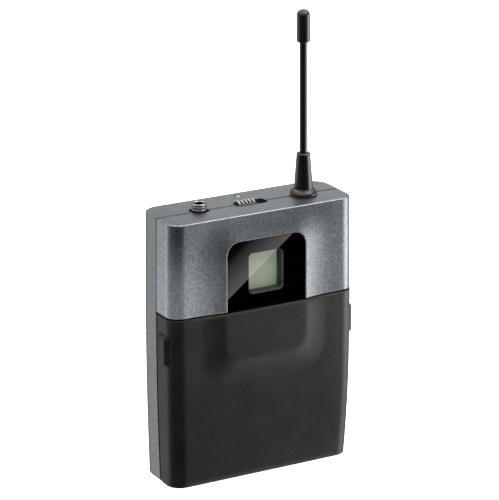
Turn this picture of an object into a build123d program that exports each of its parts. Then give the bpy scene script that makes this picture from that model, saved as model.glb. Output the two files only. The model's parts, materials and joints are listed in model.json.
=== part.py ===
from build123d import *

import os
from math import sqrt

# Wireless bodypack transmitter: a flat pocket-size case with a whip antenna, a threaded audio
# socket and a mute slider on top, a display window on the front, and a battery cover that is
# hinged at the bottom and held by a squeeze catch on each side.
#
# Millimetres. X runs across the front from left to right, +Y points to the back (the belt side),
# +Z is up. The origin is on the base plane, midway between the sides, 11 mm behind the flat front.

# ---------------------------------------------------------------- case
CASE_WIDTH = 66.2
CASE_DEPTH = 22.4
CASE_HEIGHT = 82.3
WALL = 1.8
FRONT_CORNER = 4.6
REAR_CORNER = 6.0
SIDE_TAPER_START = 62.0  # below this height the sides curve inwards
SIDE_TAPER = 1.5  # how far each side has come in at the base
FRONT_TAPER_START = 34.0
FRONT_TAPER = 1.6
EDGE_ROUND = 0.45
FRONT_Y = -11.0
REAR_Y = FRONT_Y + CASE_DEPTH
INNER_FRONT = FRONT_Y + WALL
INNER_REAR = REAR_Y - WALL
INNER_TOP = CASE_HEIGHT - WALL
BEYOND = 60.0  # larger than the case in every direction, for cuts that go right through

SEAM_Y = -0.5  # parting plane between the front and rear halves
SEAM_GAP = 0.4
COVER_TOP = 53.0  # the battery cover ends here and the front shell begins
COVER_PROUD = 0.1  # the cover stands this much outside the shells
COVER_GAP = 0.55  # between the battery cover and both shells
COVER_CHAMFER = 0.35  # along the cover's rear edges
TONGUE_THICKNESS = 0.8  # tongue that closes the side seams from inside
TONGUE_DEPTH = 1.2
TONGUE_BOTTOM = 6.0
TONGUE_TOP = 76.0
FIT = 0.1  # clearance between pieces that don't move on each other
RUNNING = 0.05  # radial clearance of a pin in its bore

# ---------------------------------------------------------------- raised pad round the display
PAD_HALF_WIDTH = 14.5
PAD_BOTTOM = 37.8
PAD_TOP = 74.95
PAD_CORNER = 4.6
PAD_RISE = 1.2
PAD_FLANK = 10.5  # width of the hollow slope at the sides and the bottom
PAD_FLANK_TOP = CASE_HEIGHT - EDGE_ROUND - PAD_TOP
PAD_Y = FRONT_Y - PAD_RISE

# ---------------------------------------------------------------- display
WINDOW_HALF_WIDTH = 14.05
WINDOW_TOP = 74.5
WINDOW_CORNER = 4.2
WINDOW_THICKNESS = 0.5
WINDOW_Y = PAD_Y + 0.05
WINDOW_GAP = 0.1
WINDOW_BACK = WINDOW_Y + WINDOW_THICKNESS
MASK_BACK = WINDOW_BACK + 0.15
APERTURE_WIDTH = 12.4
APERTURE_HEIGHT = 12.8
APERTURE_CORNER = 1.5
DISPLAY_Z = 63.8  # height of the display's middle
LEDGE_WIDTH = 23.0  # opening in the front wall behind the window
LEDGE_HEIGHT = 17.4
LCD_FRONT = -8.8
LCD_THICKNESS = 1.1
LCD_WIDTH = 18.0
LCD_HEIGHT = 15.2
BACKLIGHT_THICKNESS = 2.6
BEZEL_FRONT = MASK_BACK + 0.15
BEZEL_WIDTH = 22.4
BEZEL_HEIGHT = 16.8
BEZEL_SIGHT_WIDTH = 12.0
BEZEL_SIGHT_HEIGHT = 12.4
DISPLAY_BOARD_Y = -4.9
DISPLAY_BOARD_WIDTH = 25.0
DISPLAY_BOARD_BOTTOM = 55.2
BOARD_THICKNESS = 0.8

# ---------------------------------------------------------------- main board
MAIN_BOARD_Y = 4.6
MAIN_BOARD_BACK = MAIN_BOARD_Y + 1.2
MAIN_BOARD_HALF_WIDTH = 21.0
MAIN_BOARD_BOTTOM = 38.5
MAIN_BOARD_TOP = 78.4
BOARD_SCREW_PLACES = [(-16.0, 42.0), (16.0, 42.0), (-8.0, 75.0)]
BOARD_POST_RADIUS = 2.2
CHIP_HEIGHT = 1.1
SHIELD_HEIGHT = 2.4
SHIELD_WALL = 0.25

# ---------------------------------------------------------------- audio socket
JACK_X = -17.4
JACK_Y = 0.4
JACK_BORE = 1.8
JACK_THREAD = 2.45
JACK_TOP = 84.7
JACK_SHOULDER = 80.0
JACK_BOTTOM = 64.5
JACK_BODY_HALF = 3.5
JACK_HOLE = 3.3
THREAD_PITCH = 0.85
THREAD_DEPTH = 0.25
THREAD_TURNS = 2
THREAD_LAND = 0.35
RIM_CHAMFER = 0.25

# ---------------------------------------------------------------- mute slider
SLOT_X = 0.85
SLOT_LENGTH = 11.0
SLOT_WIDTH = 5.0
SLOT_CORNER = 1.4
SLIDER_GAP = 0.1
SLIDER_TRAVEL = 3.8
SLIDER_LENGTH = SLOT_LENGTH - SLIDER_TRAVEL - 2 * SLIDER_GAP
SLIDER_WIDTH = SLOT_WIDTH - 2 * SLIDER_GAP
SLIDER_X = SLOT_X - SLOT_LENGTH / 2 + SLIDER_GAP + SLIDER_LENGTH / 2
SLIDER_EDGE = CASE_HEIGHT - 0.2  # the knob's arched top starts here at its long sides
SLIDER_CROWN = 0.75
SLIDER_RIBS = 5
SLIDER_RIB_HEIGHT = 0.5
SWITCH_HALF_LENGTH = 5.6
SWITCH_TOP = 79.2
SWITCH_BOTTOM = 73.6

# ---------------------------------------------------------------- status lamp
LAMP_X = 0.7
LAMP_Y = 7.7
LAMP_RADIUS = 1.25

# ---------------------------------------------------------------- antenna
ANTENNA_X = 19.75
ANTENNA_Y = -1.1
ANTENNA_HOLE = 2.6
FLANGE_RADIUS = 4.45
FLANGE_EDGE = 0.4
SHOULDER_RADIUS = 3.25
SHOULDER_HEIGHT = 1.95
BOOT_LOW_RADIUS = 3.1
BOOT_HIGH_RADIUS = 2.25
BOOT_TOP = 95.8
WHIP_RADIUS = 1.25
WHIP_BOTTOM = 72.0
FERRULE_RADIUS = 2.3
TIP_RADIUS = 2.2
TIP_DOME = 1.9
TIP_FOOT_ROUND = 0.7
TIP_BOTTOM = 131.1
TIP_TOP = 141.7
TIP_BORE_DEPTH = 7.0

# ---------------------------------------------------------------- batteries
CELL_RADIUS = 7.1
CELL_LENGTH = 49.0
CELL_NUB = 1.4
CELL_NUB_RADIUS = 2.7
CELL_Y = 0.7
CELL_LOW_Z = 13.0
CELL_HIGH_Z = 28.0
CONTACT_X = 26.75
CONTACT_THICKNESS = 0.3
CONTACT_HALF = 4.2
COIL_WIRE = 0.3
COIL_TURNS = 3
TRAY_HALF_WIDTH = 27.8
TRAY_BOTTOM = 4.4
TRAY_WALL = 1.0
TRAY_CORNER = 2.6
TRAY_FRONT = -6.0
TRAY_BACK = 9.1
SHELF_Z = 35.8

# ---------------------------------------------------------------- cover hinge
HINGE_Z = 1.6
HINGE_Y = -2.7
HINGE_PIN = 0.75
HINGE_PIN_LENGTH = 11.0
HINGE_X = 21.0
BARREL_HALF_LENGTH = 27.5
EAR_LENGTH = 3.6
EAR_RADIUS = 1.5
EAR_GAP = 0.25
EAR_WEB_DROP = 0.4  # how far the ear's web reaches below the hinge axis

# ---------------------------------------------------------------- side catches
CATCH_Z = 42.8
CATCH_HALF_HEIGHT = 4.3
CATCH_FRONT = -8.3
CATCH_LAND_FRONT = -7.2  # the flat land ends here and a steep bevel begins
CATCH_LAND_BACK = -4.6
CATCH_BACK = -2.75
CATCH_PROUD = 1.05
CATCH_TOP_BEVEL = 0.9
CATCH_FOOT_BEVEL = 0.4
CATCH_GAP = 0.12
CATCH_TRAVEL = 1.2
FLANGE_X = 29.6
FLANGE_OUTER_X = 30.6
FLANGE_FRONT = -7.3
FLANGE_BACK = -2.15
FLANGE_HALF_HEIGHT = 5.0
SEAT_X = 26.6  # face that the catch spring pushes on
SEAT_THICKNESS = 1.0
SPRING_Y = -5.2
SPRING_RADIUS = 1.3
SPRING_WIRE = 0.15
SPRING_TURNS = 4

# ---------------------------------------------------------------- keys under the cover
PANEL_FRONT = -2.0
PANEL_THICKNESS = 1.0
PANEL_HALF_WIDTH = 29.4
PANEL_TOP = 54.6
KEY_Z = 44.6
POWER_X = -17.0
SET_X = 0.0
ROCKER_X = 15.0
KEY_RADIUS = 2.9
KEY_FRONT = -4.2
KEY_GAP = 0.15
KEY_RIM = 0.7
KEY_TRAVEL = 0.3
ROCKER_WIDTH = 5.6
ROCKER_HEIGHT = 12.0
KEY_BOARD_Y = 0.9
KEY_SWITCH_HALF = 1.6
ROCKER_SWITCH_OFFSET = 4.2
ROCKER_PIVOT = 0.6

# ---------------------------------------------------------------- belt clip
CLIP_WIRE = 0.9
BELT_GAP = 4.4  # between the clip's legs and the back of the case
CLIP_Y = REAR_Y + BELT_GAP + CLIP_WIRE
CLIP_Z = 72.0
CLIP_HALF_WIDTH = 21.4
CLIP_BEND = 1.6
CLIP_KNEE_Z = 33.0  # below this height the legs bend in towards the case
CLIP_TIP_Z = 20.0
CLIP_TIP_Y = REAR_Y + CLIP_WIRE + 0.2
CLIP_TIP_HALF_WIDTH = 11.0
LUG_INNER = 14.6
LUG_OUTER = 19.4
LUG_RADIUS = 2.1
BRACKET_HEIGHT = 10.0
BRACKET_THICKNESS = 1.0
BRACKET_CORNER = 1.5

# ---------------------------------------------------------------- screws
SHELL_SCREW_PLACES = [(-26.0, 75.2), (26.0, 75.2)]
TRAY_SCREW_PLACES = [(-24.6, 41.0), (24.6, 41.0)]
POST_RADIUS = 2.3
POST_BACK = 7.5
BOSS_RADIUS = 3.0
PILOT = 0.82
SCREW_SHANK = 0.8
SCREW_HOLE = 1.0
SCREW_HEAD = 1.75
SCREW_HEAD_HEIGHT = 1.2
SCREW_LENGTH = 8.0
HEAD_RECESS = 0.3
HEAD_HOLE = 2.0
CROSS_WIDTH = 0.4

OUT = "parts"
os.makedirs(OUT, exist_ok=True)


def save(part, name):
    """Labels one finished piece and writes its STEP file."""
    part.label = name
    export_step(part, os.path.join(OUT, name + ".step"))


def block(x, y, z, mode=Mode.ADD):
    """Adds or cuts a plain block, each of x, y and z being a pair of limits."""
    with BuildSketch(Plane.XY.offset(z[0])) as outline:
        with Locations(((x[0] + x[1]) / 2, (y[0] + y[1]) / 2)):
            Rectangle(x[1] - x[0], y[1] - y[0])
    extrude(outline.sketch, amount=z[1] - z[0], mode=mode)


def plate(x, z, width, height, corner, y, mode=Mode.ADD):
    """Adds or cuts an upright plate with round corners, between two depths y."""
    with BuildSketch(Plane.XZ.offset(-y[1])) as outline:
        with Locations((x, z)):
            RectangleRounded(width, height, corner)
    extrude(outline.sketch, amount=y[1] - y[0], mode=mode)


def rod_x(y, z, radius, x, mode=Mode.ADD):
    """Adds or cuts a round rod along X, between two values of x."""
    with BuildSketch(Plane.YZ.offset(x[0])) as outline:
        with Locations((y, z)):
            Circle(radius)
    extrude(outline.sketch, amount=x[1] - x[0], mode=mode)


def rod_y(places, radius, y, mode=Mode.ADD):
    """Adds or cuts round rods along Y at each (x, z) place, between two depths y."""
    with BuildSketch(Plane.XZ.offset(-y[1])) as outline:
        with Locations(*places):
            Circle(radius)
    extrude(outline.sketch, amount=y[1] - y[0], mode=mode)


def rod_z(x, y, radius, z, mode=Mode.ADD):
    """Adds or cuts a round rod along Z, between two heights z."""
    with BuildSketch(Plane.XY.offset(z[0])) as outline:
        with Locations((x, y)):
            Circle(radius)
    extrude(outline.sketch, amount=z[1] - z[0], mode=mode)


def ahead_of_seam(y, mode):
    """Keeps or cuts what lies in front of the parting line, which turns round the hinge below."""
    radius = y - HINGE_Y
    with BuildSketch(Plane.YZ) as zone:
        with BuildLine():
            Polyline(
                (y, HINGE_Z),
                (y, CASE_HEIGHT + BEYOND),
                (-BEYOND, CASE_HEIGHT + BEYOND),
                (-BEYOND, HINGE_Z - radius),
                (HINGE_Y, HINGE_Z - radius),
            )
            RadiusArc((HINGE_Y, HINGE_Z - radius), (y, HINGE_Z), -radius)
        make_face()
    extrude(zone.sketch, amount=BEYOND, both=True, mode=mode)


def envelope(inset, edge_round=0.0):
    """The case's form without the pad, moved in by inset on every side."""
    half = CASE_WIDTH / 2 - inset
    top = CASE_HEIGHT - inset
    front = FRONT_Y + inset
    rear = REAR_Y - inset
    base = (half - SIDE_TAPER, inset)
    toe = (front + FRONT_TAPER, inset)
    with BuildPart() as body:
        with BuildSketch(Plane.XZ):
            with BuildLine():
                Polyline((0, inset), base)
                TangentArc((half, SIDE_TAPER_START), base, tangent=(0, -1))
                Polyline((half, SIDE_TAPER_START), (half, top), (0, top))
                mirror(about=Plane.YZ)
            make_face()
        extrude(amount=CASE_DEPTH, both=True)
        with BuildSketch(Plane.YZ):
            with BuildLine():
                Polyline((front, FRONT_TAPER_START), (front, top), (rear, top), (rear, inset), toe)
                TangentArc((front, FRONT_TAPER_START), toe, tangent=(0, -1))
            make_face()
        extrude(amount=CASE_WIDTH, both=True, mode=Mode.INTERSECT)
        upright = body.edges().filter_by(lambda edge: edge.bounding_box().size.Z > WALL)
        fillet(upright.filter_by(lambda edge: edge.center().Y < 0), FRONT_CORNER - inset)
        upright = body.edges().filter_by(lambda edge: edge.bounding_box().size.Z > WALL)
        fillet(upright.filter_by(lambda edge: edge.center().Y > rear - 1), REAR_CORNER - inset)
        if edge_round:
            rims = body.faces().sort_by(Axis.Z)[-1].edges() + body.faces().sort_by(Axis.Z)[0].edges()
            fillet(rims, edge_round)
    return body.part



def pad_section(rise):
    """The pad's outline where its flank has come up by this fraction of its full height."""
    spread = 1 - rise**0.5
    half = PAD_HALF_WIDTH + PAD_FLANK * spread
    top = PAD_TOP + PAD_FLANK_TOP * spread
    bottom = PAD_BOTTOM - PAD_FLANK * spread
    with BuildSketch(Plane.XZ.offset(-FRONT_Y + PAD_RISE * rise)) as outline:
        with Locations((0, (top + bottom) / 2)):
            RectangleRounded(2 * half, top - bottom, PAD_CORNER + PAD_FLANK_TOP * spread)
    return outline.sketch


def sides_between(outer_inset, inner_inset, y, z):
    """A liner that follows the side walls, between two insets and inside the limits y and z."""
    with BuildPart() as liner:
        add(envelope(outer_inset))
        add(envelope(inner_inset), mode=Mode.SUBTRACT)
        block((-BEYOND, BEYOND), y, z, Mode.INTERSECT)
        block((-FIT - INNER_SIDE, FIT + INNER_SIDE), y, z, Mode.SUBTRACT)
    return liner.part


# ---------------------------------------------------------------- shared bodies
skin = envelope(0, EDGE_ROUND)
cover_skin = envelope(-COVER_PROUD, EDGE_ROUND)
hollow = envelope(WALL)
INNER_SIDE = CASE_WIDTH / 2 - WALL - 2 * TONGUE_THICKNESS
tongue_z = (TONGUE_BOTTOM, TONGUE_TOP)
tongue_tip = sides_between(WALL + FIT, WALL + FIT + TONGUE_THICKNESS, (SEAM_Y - TONGUE_DEPTH, 1.0), tongue_z)
tongue_root = sides_between(WALL - FIT, WALL + FIT + TONGUE_THICKNESS, (SEAM_Y + SEAM_GAP / 2, 1.0), tongue_z)

with BuildPart() as pad:
    loft([pad_section(0.0), pad_section(0.25), pad_section(1.0)])

HIGH = (COVER_TOP + SEAM_GAP / 2, BEYOND * 2)
LOW = (0.0, COVER_TOP + SEAM_GAP / 2 - COVER_GAP)
ACROSS = (-BEYOND, BEYOND)


def top_openings():
    """Cuts the holes for the socket, the slider and the antenna through the top wall."""
    through = (INNER_TOP - 1, BEYOND * 2)
    rod_z(JACK_X, JACK_Y, JACK_HOLE, through, Mode.SUBTRACT)
    rod_z(ANTENNA_X, ANTENNA_Y, ANTENNA_HOLE, through, Mode.SUBTRACT)
    with BuildSketch(Plane.XY.offset(through[0])) as slot:
        with Locations((SLOT_X, 0)):
            RectangleRounded(SLOT_LENGTH, SLOT_WIDTH, SLOT_CORNER)
    extrude(slot.sketch, amount=through[1], mode=Mode.SUBTRACT)


# ---------------------------------------------------------------- rear shell
with BuildPart() as rear_shell:
    add(skin)
    add(hollow, mode=Mode.SUBTRACT)
    ahead_of_seam(SEAM_Y + SEAM_GAP / 2, Mode.SUBTRACT)
    add(tongue_tip)
    add(tongue_root)
    top_openings()
    rod_z(LAMP_X, LAMP_Y, LAMP_RADIUS + FIT, (INNER_TOP - 1, BEYOND * 2), Mode.SUBTRACT)
    # ears of the cover hinge
    for side in (-1, 1):
        ear_x = (side * HINGE_X - EAR_LENGTH / 2, side * HINGE_X + EAR_LENGTH / 2)
        rod_x(HINGE_Y, HINGE_Z, EAR_RADIUS, ear_x)
        block(ear_x, (HINGE_Y, 1.0), (HINGE_Z - EAR_WEB_DROP, HINGE_Z + EAR_RADIUS))
    rod_x(HINGE_Y, HINGE_Z, HINGE_PIN + RUNNING, ACROSS, Mode.SUBTRACT)
    # seats of the shell screws, and posts of the main board
    shell_and_tray = SHELL_SCREW_PLACES + TRAY_SCREW_PLACES
    rod_y(shell_and_tray, BOSS_RADIUS, (POST_BACK + FIT, INNER_REAR + FIT))
    rod_y(shell_and_tray, HEAD_HOLE, (REAR_Y - HEAD_RECESS - SCREW_HEAD_HEIGHT, REAR_Y + 1), Mode.SUBTRACT)
    rod_y(shell_and_tray, SCREW_HOLE, (0, REAR_Y), Mode.SUBTRACT)
    rod_y(BOARD_SCREW_PLACES, BOARD_POST_RADIUS, (MAIN_BOARD_BACK, INNER_REAR + FIT))
    rod_y(BOARD_SCREW_PLACES, PILOT, (MAIN_BOARD_BACK, INNER_REAR - FIT), Mode.SUBTRACT)
save(rear_shell.part, "rear_shell")

# ---------------------------------------------------------------- front shell
with BuildPart() as front_shell:
    add(skin)
    add(hollow, mode=Mode.SUBTRACT)
    add(pad.part)
    ahead_of_seam(SEAM_Y - SEAM_GAP / 2, Mode.INTERSECT)
    block(ACROSS, ACROSS, HIGH, Mode.INTERSECT)
    top_openings()
    # seat of the window, open at the bottom, and the opening behind it
    window_seat = (PAD_Y - 1, MASK_BACK + WINDOW_GAP / 2)
    seat_half = WINDOW_HALF_WIDTH + WINDOW_GAP
    seat_height = WINDOW_TOP + WINDOW_GAP - KEY_Z
    plate(0, KEY_Z + seat_height / 2, 2 * seat_half, seat_height, WINDOW_CORNER, window_seat, Mode.SUBTRACT)
    plate(0, DISPLAY_Z, LEDGE_WIDTH, LEDGE_HEIGHT, APERTURE_CORNER, (PAD_Y, 0), Mode.SUBTRACT)
    # posts that the shell screws hold
    rod_y(SHELL_SCREW_PLACES, POST_RADIUS, (INNER_FRONT - FIT, POST_BACK))
    rod_y(SHELL_SCREW_PLACES, PILOT, (0, POST_BACK), Mode.SUBTRACT)
save(front_shell.part, "front_shell")

# ---------------------------------------------------------------- battery cover
catch_window = (CATCH_Z - CATCH_HALF_HEIGHT - CATCH_GAP, CATCH_Z + CATCH_HALF_HEIGHT + CATCH_GAP)
cover_rear = SEAM_Y + SEAM_GAP / 2 - COVER_GAP


def is_outer_rear_edge(edge):
    """Tells the long edges where the cover's outer sides meet its rear plane."""
    box = edge.bounding_box()
    outside = max(abs(box.min.X), abs(box.max.X)) > CASE_WIDTH / 2 - WALL / 2
    return outside and box.min.Y > cover_rear - FIT and box.size.Z > WALL


with BuildPart() as battery_cover:
    add(cover_skin)
    add(hollow, mode=Mode.SUBTRACT)
    add(pad.part)
    rod_x(HINGE_Y, HINGE_Z, cover_rear - HINGE_Y, (-BARREL_HALF_LENGTH, BARREL_HALF_LENGTH))
    ahead_of_seam(cover_rear, Mode.INTERSECT)
    block(ACROSS, ACROSS, LOW, Mode.INTERSECT)
    chamfer(battery_cover.edges().filter_by(is_outer_rear_edge), COVER_CHAMFER)
    for side in (-1, 1):
        # notch for the hinge ear
        notch_x = (
            side * HINGE_X - EAR_LENGTH / 2 - EAR_GAP,
            side * HINGE_X + EAR_LENGTH / 2 + EAR_GAP,
        )
        rod_x(HINGE_Y, HINGE_Z, EAR_RADIUS + EAR_GAP, notch_x, Mode.SUBTRACT)
        block(notch_x, (HINGE_Y, 0), (-1, HINGE_Z + HINGE_Z + 1), Mode.SUBTRACT)
        # bore of the hinge pin
        pin_x = (side * HINGE_X - HINGE_PIN_LENGTH / 2, side * HINGE_X + HINGE_PIN_LENGTH / 2)
        rod_x(HINGE_Y, HINGE_Z, HINGE_PIN, pin_x, Mode.SUBTRACT)
        # window of the side catch and seat of its spring
        wall_x = sorted((side * (FLANGE_X - 3), side * BEYOND))
        block(wall_x, (CATCH_FRONT - CATCH_GAP, CATCH_BACK + CATCH_GAP), catch_window, Mode.SUBTRACT)
        seat_x = sorted((side * SEAT_X, side * (SEAT_X - SEAT_THICKNESS)))
        block(seat_x, (INNER_FRONT - FIT, PANEL_FRONT - 0.5), (CATCH_Z - 3, CATCH_Z + 3))
save(battery_cover.part, "battery_cover")

with BuildPart() as cover_hinge_pins:
    for side in (-1, 1):
        pin_x = (side * HINGE_X - HINGE_PIN_LENGTH / 2, side * HINGE_X + HINGE_PIN_LENGTH / 2)
        rod_x(HINGE_Y, HINGE_Z, HINGE_PIN, pin_x)
save(cover_hinge_pins.part, "cover_hinge_pins")

# ---------------------------------------------------------------- side catches
with BuildPart() as right_catch:
    add(envelope(-CATCH_PROUD))
    catch_x = CASE_WIDTH / 2 + CATCH_PROUD
    with BuildSketch(Plane.XY):
        with BuildLine():
            heel = (CASE_WIDTH / 2 - FIT, CATCH_BACK)
            nose = (CASE_WIDTH / 2 - CATCH_TOP_BEVEL / 2, CATCH_FRONT)
            Polyline((FLANGE_X, CATCH_FRONT), (FLANGE_X, CATCH_BACK), heel, (catch_x, CATCH_LAND_BACK))
            Polyline((catch_x, CATCH_LAND_BACK), (catch_x, CATCH_LAND_FRONT), nose, (FLANGE_X, CATCH_FRONT))
        make_face()
    extrude(amount=CASE_HEIGHT, mode=Mode.INTERSECT)
    with BuildSketch(Plane.XZ):
        with BuildLine():
            foot = CATCH_Z - CATCH_HALF_HEIGHT
            head = CATCH_Z + CATCH_HALF_HEIGHT
            Polyline((FLANGE_X, head), (FLANGE_X, foot), (catch_x - CATCH_FOOT_BEVEL, foot))
            Polyline((catch_x - CATCH_FOOT_BEVEL, foot), (catch_x, foot + CATCH_FOOT_BEVEL))
            Polyline((catch_x, foot + CATCH_FOOT_BEVEL), (catch_x, head - CATCH_TOP_BEVEL))
            Polyline((catch_x, head - CATCH_TOP_BEVEL), (catch_x - CATCH_TOP_BEVEL, head), (FLANGE_X, head))
        make_face()
    extrude(amount=CASE_DEPTH, both=True, mode=Mode.INTERSECT)
    block(
        (FLANGE_X, FLANGE_OUTER_X),
        (FLANGE_FRONT, FLANGE_BACK),
        (CATCH_Z - FLANGE_HALF_HEIGHT, CATCH_Z + FLANGE_HALF_HEIGHT),
    )
save(right_catch.part, "right_catch")

with BuildPart() as left_catch:
    mirror(right_catch.part, about=Plane.YZ)
save(left_catch.part, "left_catch")

spring_length = FLANGE_X - SEAT_X - 2 * SPRING_WIRE - 0.1
with BuildPart() as right_catch_spring:
    with BuildLine() as coil:
        Helix(
            spring_length / SPRING_TURNS,
            spring_length,
            SPRING_RADIUS,
            center=(SEAT_X + SPRING_WIRE + 0.05, SPRING_Y, CATCH_Z),
            direction=(1, 0, 0),
        )
    with BuildSketch(Plane(origin=coil.line @ 0, z_dir=coil.line % 0)):
        Circle(SPRING_WIRE)
    sweep(path=coil.line, is_frenet=True)
save(right_catch_spring.part, "right_catch_spring")

with BuildPart() as left_catch_spring:
    mirror(right_catch_spring.part, about=Plane.YZ)
save(left_catch_spring.part, "left_catch_spring")

# ---------------------------------------------------------------- display
window_bottom = COVER_TOP + SEAM_GAP / 2 + FIT
with BuildPart() as display_window:
    window_height = WINDOW_TOP - KEY_Z
    window_y = (WINDOW_Y, WINDOW_BACK)
    plate(0, KEY_Z + window_height / 2, 2 * WINDOW_HALF_WIDTH, window_height, WINDOW_CORNER, window_y)
    block(ACROSS, ACROSS, (window_bottom, BEYOND * 2), Mode.INTERSECT)
    chamfer(display_window.faces().sort_by(Axis.Y)[0].edges(), 0.15)
save(display_window.part, "display_window")

with BuildPart() as display_mask:
    mask_y = (WINDOW_BACK, MASK_BACK)
    plate(0, KEY_Z + window_height / 2, 2 * WINDOW_HALF_WIDTH, window_height, WINDOW_CORNER, mask_y)
    block(ACROSS, ACROSS, (window_bottom, BEYOND * 2), Mode.INTERSECT)
    plate(0, DISPLAY_Z, APERTURE_WIDTH, APERTURE_HEIGHT, APERTURE_CORNER, mask_y, Mode.SUBTRACT)
save(display_mask.part, "display_mask")

with BuildPart() as lcd_bezel:
    plate(0, DISPLAY_Z, BEZEL_WIDTH, BEZEL_HEIGHT, 1.0, (BEZEL_FRONT, DISPLAY_BOARD_Y))
    plate(
        0, DISPLAY_Z, LCD_WIDTH + 2 * FIT, LCD_HEIGHT + 2 * FIT, FIT, (LCD_FRONT - FIT, 0), Mode.SUBTRACT
    )
    plate(0, DISPLAY_Z, BEZEL_SIGHT_WIDTH, BEZEL_SIGHT_HEIGHT, 1.0, (BEZEL_FRONT - 1, 0), Mode.SUBTRACT)
save(lcd_bezel.part, "lcd_bezel")

lcd_back = LCD_FRONT + LCD_THICKNESS
with BuildPart() as lcd_panel:
    plate(0, DISPLAY_Z, LCD_WIDTH, LCD_HEIGHT, 0.2, (LCD_FRONT, lcd_back))
save(lcd_panel.part, "lcd_panel")

with BuildPart() as backlight:
    plate(0, DISPLAY_Z, LCD_WIDTH, LCD_HEIGHT, 0.2, (lcd_back, lcd_back + BACKLIGHT_THICKNESS))
save(backlight.part, "backlight")

with BuildPart() as display_board:
    board_y = (DISPLAY_BOARD_Y, DISPLAY_BOARD_Y + BOARD_THICKNESS)
    half = DISPLAY_BOARD_WIDTH / 2
    block((-half, half), board_y, (DISPLAY_BOARD_BOTTOM, MAIN_BOARD_TOP - 4))
save(display_board.part, "display_board")

with BuildPart() as display_connector:
    block((-9, -2), (DISPLAY_BOARD_Y + BOARD_THICKNESS, MAIN_BOARD_Y), (57, 60))
save(display_connector.part, "display_connector")

# ---------------------------------------------------------------- main board
with BuildPart() as main_board:
    block(
        (-MAIN_BOARD_HALF_WIDTH, MAIN_BOARD_HALF_WIDTH),
        (MAIN_BOARD_Y, MAIN_BOARD_BACK),
        (MAIN_BOARD_BOTTOM, MAIN_BOARD_TOP),
    )
    fillet(main_board.edges().filter_by(Axis.Y), 1.5)
    rod_y(BOARD_SCREW_PLACES, SCREW_HOLE, (MAIN_BOARD_Y - 1, MAIN_BOARD_BACK + 1), Mode.SUBTRACT)
save(main_board.part, "main_board")

with BuildPart() as rf_shield_can:
    can_y = (MAIN_BOARD_Y - SHIELD_HEIGHT, MAIN_BOARD_Y)
    plate(10.5, 61.5, 17, 19, 0.8, can_y)
    plate(
        10.5,
        61.5,
        17 - 2 * SHIELD_WALL,
        19 - 2 * SHIELD_WALL,
        0.6,
        (can_y[0] + SHIELD_WALL, can_y[1]),
        Mode.SUBTRACT,
    )
save(rf_shield_can.part, "rf_shield_can")

with BuildPart() as processor_chip:
    block((-14, -6), (MAIN_BOARD_Y - CHIP_HEIGHT, MAIN_BOARD_Y), (45.5, 53.5))
    chamfer(processor_chip.faces().sort_by(Axis.Y)[0].edges(), 0.2)
save(processor_chip.part, "processor_chip")

with BuildPart() as converter_coil:
    rod_y([(13.5, 46.5)], 2.8, (MAIN_BOARD_Y - SHIELD_HEIGHT, MAIN_BOARD_Y))
    fillet(converter_coil.faces().sort_by(Axis.Y)[0].edges(), 0.5)
save(converter_coil.part, "converter_coil")

with BuildPart() as status_led:
    block((LAMP_X - 0.8, LAMP_X + 0.8), (MAIN_BOARD_BACK, LAMP_Y + 0.8), (75.0, 76.4))
save(status_led.part, "status_led")

with BuildPart() as lamp_lens:
    rod_z(LAMP_X, LAMP_Y, LAMP_RADIUS, (76.5, CASE_HEIGHT + 0.15))
    fillet(lamp_lens.faces().sort_by(Axis.Z)[-1].edges(), 0.3)
    rod_z(LAMP_X, LAMP_Y, LAMP_RADIUS + 0.5, (INNER_TOP - 1.0, INNER_TOP - 0.05))
save(lamp_lens.part, "lamp_lens")

# ---------------------------------------------------------------- audio socket
with BuildPart() as jack_barrel:
    with BuildSketch(Plane.XZ):
        with BuildLine():
            crest = JACK_THREAD
            root = JACK_THREAD - THREAD_DEPTH
            thread_top = JACK_TOP - RIM_CHAMFER
            thread_bottom = thread_top - THREAD_TURNS * THREAD_PITCH
            collar = crest + 0.3
            outline = [(JACK_BORE, JACK_SHOULDER), (collar, JACK_SHOULDER), (collar, CASE_HEIGHT - 0.6)]
            outline.append((crest, CASE_HEIGHT - 0.4))
            for turn in range(THREAD_TURNS):
                start = thread_bottom + turn * THREAD_PITCH
                outline.append((crest, start))
                outline.append((root, start + THREAD_PITCH / 2))
                outline.append((crest, start + THREAD_PITCH - THREAD_LAND))
            outline += [(crest, thread_top), (crest - RIM_CHAMFER, JACK_TOP)]
            outline += [(JACK_BORE + RIM_CHAMFER, JACK_TOP), (JACK_BORE, thread_top)]
            Polyline(*outline, close=True)
        make_face()
    revolve(axis=Axis.Z)
save(jack_barrel.part.moved(Location((JACK_X, JACK_Y, 0))), "jack_barrel")

with BuildPart() as jack_body:
    half = JACK_BODY_HALF
    body_y = (JACK_Y - half, JACK_Y + half)
    block((JACK_X - half, JACK_X + half), body_y, (JACK_BOTTOM, JACK_SHOULDER))
    chamfer(jack_body.edges().filter_by(Axis.Z), 0.5)
    rod_z(JACK_X, JACK_Y, JACK_BORE, (JACK_BOTTOM + 1, JACK_SHOULDER), Mode.SUBTRACT)
    block((JACK_X + JACK_BORE - 0.5, JACK_X + 2.4), (JACK_Y - 1, JACK_Y + 1), (68, 76), Mode.SUBTRACT)
save(jack_body.part, "jack_body")

with BuildPart() as jack_contact:
    block((JACK_X + JACK_BORE + 0.1, JACK_X + JACK_BORE + 0.4), (JACK_Y - 0.8, JACK_Y + 0.8), (68.1, 75.9))
save(jack_contact.part, "jack_contact")

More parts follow.
